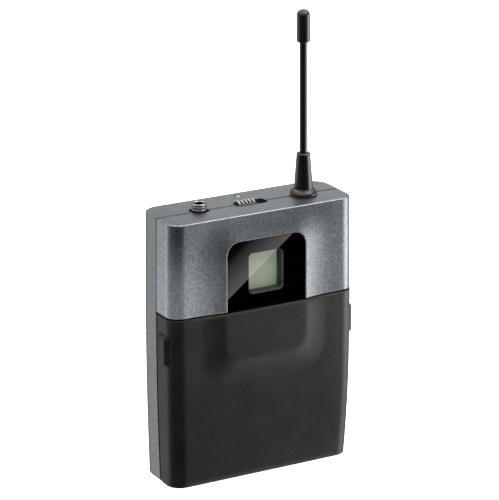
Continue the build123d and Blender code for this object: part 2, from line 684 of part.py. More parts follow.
# ---------------------------------------------------------------- mute slider
with BuildPart() as mute_switch_body:
    switch_x = (SLOT_X - SWITCH_HALF_LENGTH, SLOT_X + SWITCH_HALF_LENGTH)
    block(switch_x, (-2.9, 2.9), (SWITCH_BOTTOM, SWITCH_TOP))
    chamfer(mute_switch_body.edges().filter_by(Axis.Z), 0.4)
    block((SLOT_X - 4.2, SLOT_X + 4.2), (-0.8, 0.8), (SWITCH_BOTTOM + 1.5, SWITCH_TOP), Mode.SUBTRACT)
save(mute_switch_body.part, "mute_switch_body")


def arch(x, length, rise, corner):
    """One arched bar of the slider's top, centred on x, with its upper edges chamfered."""
    half = SLIDER_WIDTH / 2
    with BuildPart() as bar:
        with BuildSketch(Plane.YZ.offset(x - length / 2)):
            with BuildLine():
                base = SWITCH_TOP + 0.1
                Polyline((half, SLIDER_EDGE), (half, base), (-half, base), (-half, SLIDER_EDGE))
                ThreePointArc((half, SLIDER_EDGE), (0, SLIDER_EDGE + rise), (-half, SLIDER_EDGE))
            make_face()
        extrude(amount=length)
        crown = bar.edges().filter_by(lambda edge: edge.center().Z > SLIDER_EDGE)
        chamfer(crown, corner)
    return bar.part


rib_pitch = (SLIDER_LENGTH - 0.6) / SLIDER_RIBS
with BuildPart() as switch_knob:
    add(arch(SLIDER_X, SLIDER_LENGTH, SLIDER_CROWN, 0.15))
    for place in range(SLIDER_RIBS):
        rib_x = SLIDER_X + (place - (SLIDER_RIBS - 1) / 2) * rib_pitch
        add(arch(rib_x, 0.5 * rib_pitch, SLIDER_CROWN + SLIDER_RIB_HEIGHT, 0.12))
    with BuildSketch(Plane.XY.offset(SWITCH_TOP + 0.1)):
        with Locations((SLIDER_X, 0)):
            RectangleRounded(SLIDER_LENGTH, SLIDER_WIDTH, SLOT_CORNER - SLIDER_GAP)
    extrude(amount=CASE_HEIGHT, mode=Mode.INTERSECT)
    stem_x = (SLIDER_X - 1.0, SLIDER_X + 1.0)
    block(stem_x, (-0.75, 0.75), (SWITCH_BOTTOM + 1.6, SWITCH_TOP + 0.2))
save(switch_knob.part, "switch_knob")

# ---------------------------------------------------------------- antenna
with BuildPart() as antenna_boot:
    with BuildSketch(Plane.XZ):
        with BuildLine():
            base = CASE_HEIGHT + 0.05
            bore = WHIP_RADIUS + 0.02
            spigot = (ANTENNA_HOLE - FIT, base - WALL - FIT)
            edge = (FLANGE_RADIUS, base + FLANGE_EDGE)
            shoulder = (SHOULDER_RADIUS, base + SHOULDER_HEIGHT)
            foot = (BOOT_LOW_RADIUS, base + SHOULDER_HEIGHT + 0.1)
            Polyline((bore, spigot[1]), spigot, (spigot[0], base), (FLANGE_RADIUS, base), edge)
            ThreePointArc(edge, (FLANGE_RADIUS - 0.3, base + 0.65 * SHOULDER_HEIGHT), shoulder)
            Line(shoulder, foot)
            Line(foot, (BOOT_HIGH_RADIUS, BOOT_TOP - 0.3))
            Line((BOOT_HIGH_RADIUS, BOOT_TOP - 0.3), (BOOT_HIGH_RADIUS - 0.3, BOOT_TOP))
            Line((BOOT_HIGH_RADIUS - 0.3, BOOT_TOP), (bore, BOOT_TOP))
            Line((bore, BOOT_TOP), (bore, spigot[1]))
        make_face()
    revolve(axis=Axis.Z)
save(antenna_boot.part.moved(Location((ANTENNA_X, ANTENNA_Y, 0))), "antenna_boot")

with BuildPart() as antenna_whip:
    rod_z(ANTENNA_X, ANTENNA_Y, WHIP_RADIUS, (WHIP_BOTTOM, TIP_BOTTOM + TIP_BORE_DEPTH - FIT))
save(antenna_whip.part, "antenna_whip")

with BuildPart() as antenna_tip:
    rod_z(ANTENNA_X, ANTENNA_Y, TIP_RADIUS, (TIP_BOTTOM, TIP_TOP))
    fillet(antenna_tip.faces().sort_by(Axis.Z)[-1].edges(), TIP_DOME)
    fillet(antenna_tip.faces().sort_by(Axis.Z)[0].edges(), TIP_FOOT_ROUND)
    rod_z(ANTENNA_X, ANTENNA_Y, WHIP_RADIUS + 0.02, (TIP_BOTTOM, TIP_BOTTOM + TIP_BORE_DEPTH), Mode.SUBTRACT)
save(antenna_tip.part, "antenna_tip")

with BuildPart() as antenna_ferrule:
    rod_z(ANTENNA_X, ANTENNA_Y, FERRULE_RADIUS, (WHIP_BOTTOM + 0.5, INNER_TOP - 0.2))
    tab_z = (WHIP_BOTTOM + 1.5, WHIP_BOTTOM + 3.5)
    block((ANTENNA_X - FERRULE_RADIUS, ANTENNA_X + 0.3), (ANTENNA_Y + 1.5, MAIN_BOARD_Y), tab_z)
    rod_z(ANTENNA_X, ANTENNA_Y, WHIP_RADIUS, (WHIP_BOTTOM, INNER_TOP), Mode.SUBTRACT)
save(antenna_ferrule.part, "antenna_ferrule")

# ---------------------------------------------------------------- batteries and their tray
with BuildPart() as battery_tray:
    inside = TRAY_HALF_WIDTH - TRAY_WALL
    block((-TRAY_HALF_WIDTH, TRAY_HALF_WIDTH), (TRAY_FRONT, TRAY_BACK), (TRAY_BOTTOM, SHELF_Z + TRAY_WALL))
    rear_edges = battery_tray.edges().filter_by(Axis.Z).filter_by(lambda edge: edge.center().Y > 0)
    fillet(rear_edges, TRAY_CORNER)
    trough_y = (TRAY_FRONT - 1, TRAY_BACK - TRAY_WALL)
    block((-inside, inside), trough_y, (TRAY_BOTTOM + TRAY_WALL, SHELF_Z), Mode.SUBTRACT)
    # ridge between the cells
    ridge_z = (CELL_LOW_Z + CELL_HIGH_Z) / 2
    block((-inside, inside), (4.8, TRAY_BACK), (ridge_z - 0.6, ridge_z + 0.6))
    # bosses that the tray screws hold
    for x, z in TRAY_SCREW_PLACES:
        block((x - POST_RADIUS, x + POST_RADIUS), (3.0, POST_BACK), (SHELF_Z, z))
    rod_y(TRAY_SCREW_PLACES, POST_RADIUS, (3.0, POST_BACK))
    rod_y(TRAY_SCREW_PLACES, PILOT, (0, POST_BACK), Mode.SUBTRACT)
save(battery_tray.part, "battery_tray")


def cell(z, direction):
    """One cylindrical cell across the case, with its raised pole towards the given side."""
    end = direction * (CELL_LENGTH + CELL_NUB) / 2
    shoulder = end - direction * CELL_NUB
    with BuildPart() as body:
        rod_x(CELL_Y, z, CELL_RADIUS, sorted((-end, shoulder)))
        fillet(body.edges(), 0.5)
        rod_x(CELL_Y, z, CELL_NUB_RADIUS, sorted((shoulder, end)))
    return body.part


save(cell(CELL_LOW_Z, 1), "lower_cell")
save(cell(CELL_HIGH_Z, -1), "upper_cell")

cell_end = (CELL_LENGTH + CELL_NUB) / 2


def coil_contact(z, side):
    """A tapered coil that presses on the flat pole of one cell."""
    with BuildPart() as coil_part:
        length = CONTACT_X - cell_end - 2 * COIL_WIRE - 0.05
        with BuildLine() as path:
            Helix(
                length / COIL_TURNS,
                length,
                CONTACT_HALF - 0.6,
                center=(side * (CONTACT_X - COIL_WIRE), CELL_Y, z),
                direction=(-side, 0, 0),
                cone_angle=-30,
            )
        with BuildSketch(Plane(origin=path.line @ 0, z_dir=path.line % 0)):
            Circle(COIL_WIRE * 0.6)
        sweep(path=path.line, is_frenet=True)
    return coil_part.part


save(coil_contact(CELL_LOW_Z, -1), "lower_coil_contact")
save(coil_contact(CELL_HIGH_Z, 1), "upper_coil_contact")


def plate_contact(z, side):
    """A pressed plate that touches the raised pole of one cell."""
    with BuildPart() as contact:
        outer = side * CONTACT_X
        inner = outer - side * CONTACT_THICKNESS
        plate_y = (CELL_Y - CONTACT_HALF, CELL_Y + CONTACT_HALF)
        block(sorted((outer, inner)), plate_y, (z - CONTACT_HALF, z + CONTACT_HALF))
        rod_x(CELL_Y, z, CELL_NUB_RADIUS - 0.5, sorted((inner, side * (cell_end + 0.02))))
    return contact.part


save(plate_contact(CELL_LOW_Z, 1), "lower_plate_contact")
save(plate_contact(CELL_HIGH_Z, -1), "upper_plate_contact")

# ---------------------------------------------------------------- key panel and keys
panel_back = PANEL_FRONT + PANEL_THICKNESS
with BuildPart() as key_panel:
    panel_z = (SHELF_Z + TRAY_WALL, PANEL_TOP)
    block((-PANEL_HALF_WIDTH, PANEL_HALF_WIDTH), (PANEL_FRONT, panel_back), panel_z)
    rod_y([(POWER_X, KEY_Z), (SET_X, KEY_Z)], KEY_RADIUS + KEY_GAP, (-BEYOND, BEYOND), Mode.SUBTRACT)
    plate(
        ROCKER_X,
        KEY_Z,
        ROCKER_WIDTH + 2 * KEY_GAP,
        ROCKER_HEIGHT + 2 * KEY_GAP,
        ROCKER_WIDTH / 2 - 0.01 + KEY_GAP,
        (-BEYOND, BEYOND),
        Mode.SUBTRACT,
    )
save(key_panel.part, "key_panel")


def round_key(x):
    """A push key with a dished face and a rim behind the panel."""
    with BuildPart() as key:
        rod_y([(x, KEY_Z)], KEY_RADIUS, (KEY_FRONT, panel_back + KEY_GAP))
        fillet(key.faces().sort_by(Axis.Y)[0].edges(), 0.4)
        rod_y([(x, KEY_Z)], KEY_RADIUS + KEY_RIM, (panel_back + 0.05, panel_back + 0.5))
    return key.part


save(round_key(POWER_X), "power_key")
save(round_key(SET_X), "set_key")

with BuildPart() as menu_rocker:
    rocker_y = (KEY_FRONT, panel_back - 0.2)
    plate(ROCKER_X, KEY_Z, ROCKER_WIDTH, ROCKER_HEIGHT, ROCKER_WIDTH / 2 - 0.01, rocker_y)
    fillet(menu_rocker.faces().sort_by(Axis.Y)[0].edges(), 0.4)
    rod_x(panel_back + 0.05 + ROCKER_PIVOT, KEY_Z, ROCKER_PIVOT, (ROCKER_X - 4.4, ROCKER_X + 4.4))
    block(
        (ROCKER_X - ROCKER_WIDTH / 2 + 0.3, ROCKER_X + ROCKER_WIDTH / 2 - 0.3),
        (panel_back - 0.5, panel_back + 0.4),
        (KEY_Z - ROCKER_SWITCH_OFFSET - 0.6, KEY_Z + ROCKER_SWITCH_OFFSET + 0.6),
    )
save(menu_rocker.part, "menu_rocker")

with BuildPart() as key_board:
    block((-22, 22), (KEY_BOARD_Y, KEY_BOARD_Y + BOARD_THICKNESS), (37.6, 53.6))
    fillet(key_board.edges().filter_by(Axis.Y), 1.0)
save(key_board.part, "key_board")

with BuildPart() as key_switches:
    switch_places = [(POWER_X, KEY_Z), (SET_X, KEY_Z)]
    switch_places.append((ROCKER_X, KEY_Z - ROCKER_SWITCH_OFFSET))
    switch_places.append((ROCKER_X, KEY_Z + ROCKER_SWITCH_OFFSET))
    for x, z in switch_places:
        block(
            (x - KEY_SWITCH_HALF, x + KEY_SWITCH_HALF),
            (KEY_BOARD_Y - 0.7, KEY_BOARD_Y),
            (z - KEY_SWITCH_HALF, z + KEY_SWITCH_HALF),
        )
    rod_y(switch_places, 0.9, (panel_back + 0.5 + KEY_TRAVEL + 0.02, KEY_BOARD_Y))
save(key_switches.part, "key_switches")

with BuildPart() as key_board_connector:
    block((-5, 5), (KEY_BOARD_Y + BOARD_THICKNESS, MAIN_BOARD_Y), (39.2, 41.8))
save(key_board_connector.part, "key_board_connector")

# ---------------------------------------------------------------- belt clip
with BuildPart() as clip_bracket:
    bracket_y = (REAR_Y, REAR_Y + BRACKET_THICKNESS)
    plate(0, CLIP_Z - 1, 2 * LUG_OUTER, BRACKET_HEIGHT, BRACKET_CORNER, bracket_y)
    # lugs that carry the clip's ends
    for side in (-1, 1):
        with BuildSketch(Plane.YZ.offset(side * (LUG_INNER + LUG_OUTER) / 2)):
            with Locations((CLIP_Y, CLIP_Z)):
                Circle(LUG_RADIUS)
            with Locations((REAR_Y + BRACKET_THICKNESS / 2, CLIP_Z - 1)):
                Rectangle(BRACKET_THICKNESS, BRACKET_HEIGHT - 2 * BRACKET_CORNER)
            make_hull()
        extrude(amount=(LUG_OUTER - LUG_INNER) / 2, both=True)
    rod_x(CLIP_Y, CLIP_Z, CLIP_WIRE + RUNNING, ACROSS, Mode.SUBTRACT)
save(clip_bracket.part, "clip_bracket")

with BuildPart() as belt_clip:
    with BuildLine() as wire:
        end = (LUG_INNER - 0.6, CLIP_Y, CLIP_Z)
        corner = (CLIP_HALF_WIDTH - CLIP_BEND, CLIP_Y, CLIP_Z)
        leg_top = (CLIP_HALF_WIDTH, CLIP_Y, CLIP_Z - CLIP_BEND)
        cut = CLIP_BEND * (1 - sqrt(0.5))
        knee = (CLIP_HALF_WIDTH, CLIP_Y, CLIP_KNEE_Z)
        tip = (CLIP_TIP_HALF_WIDTH, CLIP_TIP_Y, CLIP_TIP_Z)
        Line(end, corner)
        ThreePointArc(corner, (CLIP_HALF_WIDTH - cut, CLIP_Y, CLIP_Z - cut), leg_top)
        Line(leg_top, knee)
        Spline(knee, tip, tangents=((0, 0, -1), (-1, 0, 0)))
        mirror(about=Plane.YZ)
        Line(tip, (-CLIP_TIP_HALF_WIDTH, CLIP_TIP_Y, CLIP_TIP_Z))
    with BuildSketch(Plane(origin=end, z_dir=(1, 0, 0))):
        Circle(CLIP_WIRE)
    sweep(path=wire.wire())
save(belt_clip.part, "belt_clip")


# ---------------------------------------------------------------- screws
def screws(places, radius, head_radius, tip_y, seat_y):
    """Pan-head screws along Y from tip_y to seat_y, with cross-recessed heads beyond seat_y."""
    back = seat_y > tip_y
    head_y = (seat_y, seat_y + SCREW_HEAD_HEIGHT) if back else (seat_y - SCREW_HEAD_HEIGHT, seat_y)
    slot_y = (head_y[1] - 0.5, head_y[1] + 1) if back else (head_y[0] - 1, head_y[0] + 0.5)
    with BuildPart() as group:
        rod_y(places, radius, sorted((tip_y, seat_y)))
        rod_y(places, head_radius, head_y)
        for x, z in places:
            reach = head_radius * 0.6
            block((x - reach, x + reach), slot_y, (z - CROSS_WIDTH / 2, z + CROSS_WIDTH / 2), Mode.SUBTRACT)
            block((x - CROSS_WIDTH / 2, x + CROSS_WIDTH / 2), slot_y, (z - reach, z + reach), Mode.SUBTRACT)
    return group.part


head_seat = REAR_Y - HEAD_RECESS - SCREW_HEAD_HEIGHT
case_places = SHELL_SCREW_PLACES + TRAY_SCREW_PLACES
save(screws(case_places, SCREW_SHANK, SCREW_HEAD, head_seat - SCREW_LENGTH, head_seat), "case_screws")
save(screws(BOARD_SCREW_PLACES, 0.7, 1.5, MAIN_BOARD_BACK + 2.6, MAIN_BOARD_Y), "board_screws")
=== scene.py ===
import json
import math

import bpy
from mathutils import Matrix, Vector


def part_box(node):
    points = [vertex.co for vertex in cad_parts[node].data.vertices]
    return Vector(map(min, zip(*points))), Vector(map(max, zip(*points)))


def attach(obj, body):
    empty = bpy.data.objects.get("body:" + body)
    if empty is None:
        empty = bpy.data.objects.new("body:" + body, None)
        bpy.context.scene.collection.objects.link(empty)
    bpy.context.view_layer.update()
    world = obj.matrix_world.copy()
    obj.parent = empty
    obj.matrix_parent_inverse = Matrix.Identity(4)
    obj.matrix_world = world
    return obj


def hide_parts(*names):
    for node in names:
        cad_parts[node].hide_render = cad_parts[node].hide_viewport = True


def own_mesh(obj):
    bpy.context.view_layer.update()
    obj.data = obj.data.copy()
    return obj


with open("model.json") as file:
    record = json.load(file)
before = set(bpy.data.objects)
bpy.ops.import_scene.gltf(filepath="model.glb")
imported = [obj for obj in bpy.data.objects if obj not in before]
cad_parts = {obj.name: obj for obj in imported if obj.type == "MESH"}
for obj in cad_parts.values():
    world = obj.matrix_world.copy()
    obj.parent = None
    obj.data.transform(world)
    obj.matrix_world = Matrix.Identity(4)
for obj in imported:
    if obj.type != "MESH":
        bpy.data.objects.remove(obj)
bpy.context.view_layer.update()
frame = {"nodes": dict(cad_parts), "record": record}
scene = bpy.context.scene

MM = 0.001
YAW = math.radians(29.26)  # the camera looks this far to the right of straight at the front

# places on the case where its finish changes
COVER_LOW, COVER_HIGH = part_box("battery_cover")
SHELL_LOW, SHELL_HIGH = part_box("front_shell")
WINDOW_LOW, WINDOW_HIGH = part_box("display_window")
SEAM_DEPTH = COVER_HIGH.y + 0.35 * MM  # parting plane of the two halves
SIDE_DEPTH = COVER_LOW.y + 6.2 * MM  # the sides' finish gives way to the front's from here ...
FRONT_DEPTH = COVER_LOW.y + 3.2 * MM  # ... to here
HALF_WIDTH = SHELL_HIGH.x
SHELL_FOOT = SHELL_LOW.z
SHELL_HEAD = SHELL_HIGH.z - 2.3 * MM  # just below the rounded upper edge

MIX_A, MIX_B, MIX_RESULT = 6, 7, 2  # the colour sockets of a Mix node


# ---------------------------------------------------------------- node helpers
class Tree:
    """A material's node tree with short calls for adding and joining nodes."""

    def __init__(self, tree):
        self.tree = tree

    def node(self, kind, **settings):
        made = self.tree.nodes.new("ShaderNode" + kind)
        for key, value in settings.items():
            setattr(made, key, value)
        return made

    def join(self, source, target):
        self.tree.links.new(source, target)

    def feed(self, target, value):
        """Sets an input to a plain value or joins it to another node's output."""
        if isinstance(value, bpy.types.NodeSocket):
            self.join(value, target)
        else:
            target.default_value = value

    def math(self, operation, a, b=0.0, clamp=False):
        made = self.node("Math", operation=operation, use_clamp=clamp)
        self.feed(made.inputs[0], a)
        self.feed(made.inputs[1], b)
        return made.outputs[0]

    def times(self, first, *others):
        product = first
        for other in others:
            product = self.math("MULTIPLY", product, other)
        return product

    def rest_of(self, value):
        """What is left of one."""
        return self.math("SUBTRACT", 1.0, value)

    def blend(self, share, a, b):
        """A number that goes from a to b as share goes from 0 to 1."""
        return self.math("ADD", self.times(share, self.math("SUBTRACT", b, a)), a)

    def ramp(self, value, low, high, out_low=0.0, out_high=1.0, smooth=True):
        kind = "SMOOTHSTEP" if smooth else "LINEAR"
        made = self.node("MapRange", interpolation_type=kind)
        self.feed(made.inputs["Value"], value)
        for name, number in zip(
            ("From Min", "From Max", "To Min", "To Max"), (low, high, out_low, out_high)
        ):
            self.feed(made.inputs[name], number)
        return made.outputs["Result"]

    def spread(self, noise, out_low, out_high):
        """Stretches a noise, whose values crowd round a half, over a range."""
        return self.ramp(noise, 0.3, 0.7, out_low, out_high)

    def mix(self, factor, a, b):
        made = self.node("Mix", data_type="RGBA")
        self.feed(made.inputs["Factor"], factor)
        self.feed(made.inputs[MIX_A], a)
        self.feed(made.inputs[MIX_B], b)
        return made.outputs[MIX_RESULT]

    def noise(self, per_mm, detail=2.0, roughness=0.5, stretch=(1, 1, 1)):
        """Noise of a given number of features per millimetre."""
        made = self.node("TexNoise")
        made.inputs["Scale"].default_value = per_mm / MM
        made.inputs["Detail"].default_value = detail
        made.inputs["Roughness"].default_value = roughness
        self.join(self.place(stretch), made.inputs["Vector"])
        return made.outputs["Fac"]

    def cells(self, per_mm):
        """Small cells, each with a random colour."""
        made = self.node("TexVoronoi")
        made.inputs["Scale"].default_value = per_mm / MM
        self.join(self.place(), made.inputs["Vector"])
        return made.outputs["Color"]

    def place(self, stretch=(1, 1, 1)):
        """The point's place on its own piece, in metres, stretched along each axis."""
        coordinates = self.node("TexCoord")
        mapping = self.node("Mapping")
        mapping.inputs["Scale"].default_value = stretch
        self.join(coordinates.outputs["Object"], mapping.inputs["Vector"])
        return mapping.outputs["Vector"]

    def facing(self):
        """The flat face's own direction."""
        return self.node("NewGeometry").outputs["True Normal"]

    def scaled(self, color, factor):
        made = self.node("VectorMath", operation="SCALE")
        self.feed(made.inputs[0], color)
        self.feed(made.inputs["Scale"], factor)
        return made.outputs[0]

    def part_of(self, vector, axis):
        made = self.node("SeparateXYZ")
        self.join(vector, made.inputs[0])
        return made.outputs[axis]

    def dot(self, vector, along):
        made = self.node("VectorMath", operation="DOT_PRODUCT")
        self.join(vector, made.inputs[0])
        made.inputs[1].default_value = along
        return made.outputs["Value"]

    def bump(self, height, depth_mm, normal=None):
        made = self.node("Bump")
        made.inputs["Strength"].default_value = 1.0
        made.inputs["Distance"].default_value = depth_mm * MM
        self.join(height, made.inputs["Height"])
        if normal is not None:
            self.join(normal, made.inputs["Normal"])
        return made.outputs["Normal"]

    def soft_edge(self, radius_mm):
        made = self.node("Bevel", samples=6)
        self.feed(made.inputs["Radius"], self.times(radius_mm, MM))
        return made.outputs["Normal"]


def grey(level, tint=(1.0, 1.0, 1.0)):
    return (level * tint[0], level * tint[1], level * tint[2], 1.0)


def new_material(name):
    made = bpy.data.materials.new(name)
    made.use_nodes = True
    made.node_tree.nodes.clear()
    return made, Tree(made.node_tree)


def surface(tree, color, metallic=0.0, roughness=0.5, normal=None, **extra):
    """A Principled surface wired to the output. Extra names are its other inputs."""
    shader = tree.node("BsdfPrincipled")
    tree.feed(shader.inputs["Base Color"], color)
    tree.feed(shader.inputs["Metallic"], metallic)
    tree.feed(shader.inputs["Roughness"], roughness)
    if normal is not None:
        tree.join(normal, shader.inputs["Normal"])
    for name, value in extra.items():
        tree.feed(shader.inputs[name.replace("_", " ")], value)
    output = tree.node("OutputMaterial")
    tree.join(shader.outputs[0], output.inputs["Surface"])


# ---------------------------------------------------------------- painted and moulded finishes
def flake_color(tree, brightness):
    """Grey flakes of differing brightness, in soft clumps, under a faint large cloud."""
    clumps = tree.noise(2.3, 2, 0.7)
    cloud = tree.noise(0.09, 3)
    level = tree.math(
        "ADD",
        tree.ramp(brightness, 0, 1, -0.36, 0.36, smooth=False),
        tree.ramp(clumps, 0.25, 0.75, -0.5, 0.5, smooth=False),
    )
    level = tree.math("ADD", level, tree.spread(cloud, 0.45, 0.55), clamp=True)
    return tree.mix(level, grey(0.13, (0.90, 1.0, 1.06)), grey(0.32, (0.92, 1.0, 1.05)))


def silver_painted_light(tree, upright, front, across, depth, height):
    """Painted light and shade: how much darker or paler the lacquer is drawn in each place, for how the
    light falls; the rear half is simply drawn darker.
    """
    step = 0.2 * MM
    right_of_window = WINDOW_HIGH.x + 4 * MM
    rear = tree.times(upright, tree.ramp(depth, SEAM_DEPTH - step, SEAM_DEPTH + step))
    # painted light and shade: the front is drawn paler at its foot, at its left and at its far right,
    # but not low on the right
    low_right_painted_shade = tree.times(
        tree.ramp(across, right_of_window - 6 * MM, right_of_window),
        tree.ramp(height, SHELL_HEAD - 8 * MM, SHELL_FOOT - 1 * MM, -0.06, 0.2),
    )
    painted_front_light = tree.times(
        tree.ramp(height, SHELL_FOOT, SHELL_HEAD, 0.97, 0.70),
        tree.ramp(across, 3 * MM - HALF_WIDTH, right_of_window, 1.2, 0.68, smooth=False),
        tree.ramp(across, HALF_WIDTH - 11 * MM, HALF_WIDTH - 3 * MM, 1.0, 1.42, smooth=False),
        tree.rest_of(low_right_painted_shade),
    )
    # painted light and shade: the front half's sides are drawn paler lower down, and the top darker at
    # its left end
    side = tree.times(
        upright,
        tree.rest_of(tree.math("MAXIMUM", front, rear)),
        tree.ramp(height, SHELL_HEAD - 2 * MM, SHELL_FOOT - 3 * MM, 0.0, 0.25),
    )
    left_end_painted_shade = tree.ramp(across, WINDOW_LOW.x + 4 * MM, -HALF_WIDTH, 0.0, 0.2)
    painted_top_shade = tree.times(tree.rest_of(upright), left_end_painted_shade)
    return tree.times(
        tree.blend(front, 1.0, painted_front_light),
        tree.blend(rear, 1.0, 0.76),
        tree.math("SUBTRACT", tree.math("ADD", side, 1.0), painted_top_shade),
    )


def silver_paint():
    """Satin metallic lacquer: fine flakes that differ in brightness and tilt, under painted light and
    shade.
    """
    made, tree = new_material("silver_paint")
    flakes = tree.node("SeparateColor")
    tree.join(tree.cells(3.6), flakes.inputs[0])
    brightness, tilt = flakes.outputs[0], flakes.outputs[1]
    place = tree.place()
    across, depth, height = (tree.part_of(place, axis) for axis in range(3))
    upright = tree.ramp(tree.part_of(tree.facing(), 2), 0.8, 0.3)
    front = tree.times(upright, tree.ramp(depth, SIDE_DEPTH, FRONT_DEPTH))
    # painted shade: the seam between the halves is drawn dark and matt where it runs across the top, as
    # the shade in its gap
    off_seam = tree.math("ABSOLUTE", tree.math("SUBTRACT", depth, SEAM_DEPTH))
    painted_seam_shade = tree.times(tree.ramp(off_seam, 0.8 * MM, 0.5 * MM, 0.0, 0.92), tree.rest_of(upright))
    outside_painted_seam_shade = tree.rest_of(painted_seam_shade)
    painted_light_and_shade = tree.times(silver_painted_light(tree, upright, front, across, depth, height), outside_painted_seam_shade)
    # low on the left of the front, more of the light is scattered than mirrored
    scattered = tree.times(
        front,
        tree.ramp(height, SHELL_HEAD, SHELL_HEAD - 20 * MM),
        tree.ramp(across, WINDOW_LOW.x + 4 * MM, 5 * MM - HALF_WIDTH, 0.1, 0.32),
    )
    surface(
        tree,
        tree.scaled(flake_color(tree, brightness), painted_light_and_shade),
        tree.times(tree.math("SUBTRACT", 0.97, scattered), outside_painted_seam_shade),
        tree.spread(tree.noise(2.5, 2), 0.28, 0.36),
        tree.bump(tilt, 0.010, tree.soft_edge(0.25)),
        Specular_IOR_Level=tree.times(outside_painted_seam_shade, 0.5),
        Coat_Weight=tree.times(outside_painted_seam_shade, 0.1),
        Coat_Roughness=0.25,
    )
    return made


def textured_plastic(name, level, tint, roughness, grain_mm, depth_mm, edge_mm=0.2):
    """Moulded plastic with a fine spark-eroded grain."""
    made, tree = new_material(name)
    grain = tree.noise(1 / grain_mm, 2, 0.6)
    wear = tree.noise(0.12, 4)
    color = tree.mix(tree.ramp(wear, 0.3, 0.75), grey(level * 0.85, tint), grey(level * 1.2, tint))
    rough = tree.spread(wear, roughness - 0.03, roughness + 0.03)
    surface(tree, color, 0.0, rough, tree.bump(grain, depth_mm, tree.soft_edge(edge_mm)))
    return made


def cover_plastic():
    """The battery cover's textured black plastic, with a painted sheen that is stronger towards the top
    and the right.
    """
    made, tree = new_material("cover_black")
    tint = (1.05, 1.0, 1.05)
    wear = tree.noise(0.12, 4)
    color = tree.mix(tree.ramp(wear, 0.3, 0.75), grey(0.0035, tint), grey(0.006, tint))
    place = tree.place()
    across, depth, height = (tree.part_of(place, axis) for axis in range(3))
    front = tree.ramp(depth, SIDE_DEPTH, FRONT_DEPTH)
    # painted highlight: the front's shine is drawn stronger towards the top and the right
    front_painted_sheen = tree.times(
        tree.ramp(height, 8 * MM, COVER_HIGH.z - 0.6 * MM, 0.6, 1.05),
        tree.ramp(across, 13 * MM - HALF_WIDTH, WINDOW_HIGH.x + 2 * MM, 0.95, 1.15),
        tree.ramp(across, WINDOW_HIGH.x + 5 * MM, HALF_WIDTH - 3 * MM, 1.0, 1.4),
    )
    painted_highlight = tree.blend(front, 1.2, front_painted_sheen)
    shine = tree.spread(tree.noise(2.2, 2, 0.75), 0.18, 0.30)
    # the raised pad runs out softly over the middle of the front
    from_side = tree.math("SUBTRACT", HALF_WIDTH, tree.math("ABSOLUTE", across))
    middle = tree.times(front, tree.ramp(from_side, 5 * MM, 9 * MM))
    edge = tree.soft_edge(tree.blend(middle, 0.8, 2.6))
    surface(
        tree,
        color,
        0.0,
        tree.spread(wear, 0.43, 0.48),
        tree.bump(tree.noise(2.2, 2, 0.6), 0.006, edge),
        Specular_IOR_Level=tree.times(shine, painted_highlight),
    )
    return made


def ribbed_knob():
    """Matt black slider, with a painted highlight: pale along the arched crests of its ribs, but not at
    their front.
    """
    low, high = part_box("switch_knob")
    middle = (low.y + high.y) / 2
    half = (high.y - low.y) / 2
    arch_rise = 1.25 * MM
    made, tree = new_material("knob_black")
    place = tree.place()
    along = tree.math("DIVIDE", tree.math("SUBTRACT", tree.part_of(place, 1), middle), half)
    arch = tree.times(along, along, arch_rise)
    below_crest = tree.math("SUBTRACT", high.z, tree.math("ADD", tree.part_of(place, 2), arch))
    # painted highlight: the crests of the ribs are drawn pale and shinier, except at their front
    crest = tree.times(
        tree.ramp(below_crest, 0.3 * MM, 0.15 * MM), tree.ramp(along, -0.95, -0.45)
    )
    painted_highlight = tree.times(crest, tree.spread(tree.noise(0.8, 3), 0.7, 1.0))
    surface(
        tree,
        tree.mix(painted_highlight, grey(0.004), grey(0.34, (1.04, 1.0, 0.96))),
        0.0,
        tree.ramp(painted_highlight, 0, 1, 0.5, 0.35),
        tree.bump(tree.noise(4.0, 2), 0.003),
        Specular_IOR_Level=tree.ramp(painted_highlight, 0, 1, 0.1, 0.6),
    )
    return made


# ---------------------------------------------------------------- metals
def plated(name, level, tint, roughness, front_left_shade=0.0):
    """Plated or drawn metal with fine tool lines round its axis.

    Where it faces front left it is drawn darker, a painted shade, by the share given as its last
    argument."""
    line_mm = 0.12
    made, tree = new_material(name)
    lines = tree.noise(1 / line_mm, 2, 0.6, stretch=(0.05, 0.05, 1.0))
    stain = tree.noise(0.5, 3)
    color = tree.mix(tree.ramp(stain, 0.35, 0.7), grey(level, tint), grey(level * 0.8, tint))
    front_left = tree.dot(tree.facing(), (-math.sin(YAW), -math.cos(YAW), 0))
    # painted shade: drawn darker where it faces front left
    color = tree.scaled(color, tree.ramp(front_left, 0.45, 0.85, 1.0, 1.0 - front_left_shade))
    rough = tree.spread(lines, roughness - 0.05, roughness + 0.07)
    surface(tree, color, 1.0, rough, tree.bump(lines, 0.003, tree.soft_edge(0.04)))
    return made


# ---------------------------------------------------------------- studio light
LIGHT_ROUND = [
    # azimuth from the front in degrees, positive towards the right, and brightness
    (-180, 0.4), (-165, 0.55), (-150, 0.95), (-132, 2.3), (-115, 0.6), (-98, 0.25),
    (-80, 0.15), (-62, 0.12), (-45, 0.05), (0, 0.05), (14, 0.15), (29, 0.45),
    (40, 1.1), (47, 3.0), (52, 5.0), (58, 5.8), (64, 6.0), (74, 5.0),
    (85, 3.0), (95, 1.2), (115, 0.4), (150, 0.3), (180, 0.4),
]
LIGHT_SCALE = 12.0  # brightness that a colour ramp's full white stands for
LAMP_TOWARDS = (0.45, -0.35, 0.82)  # a soft lamp above the front right


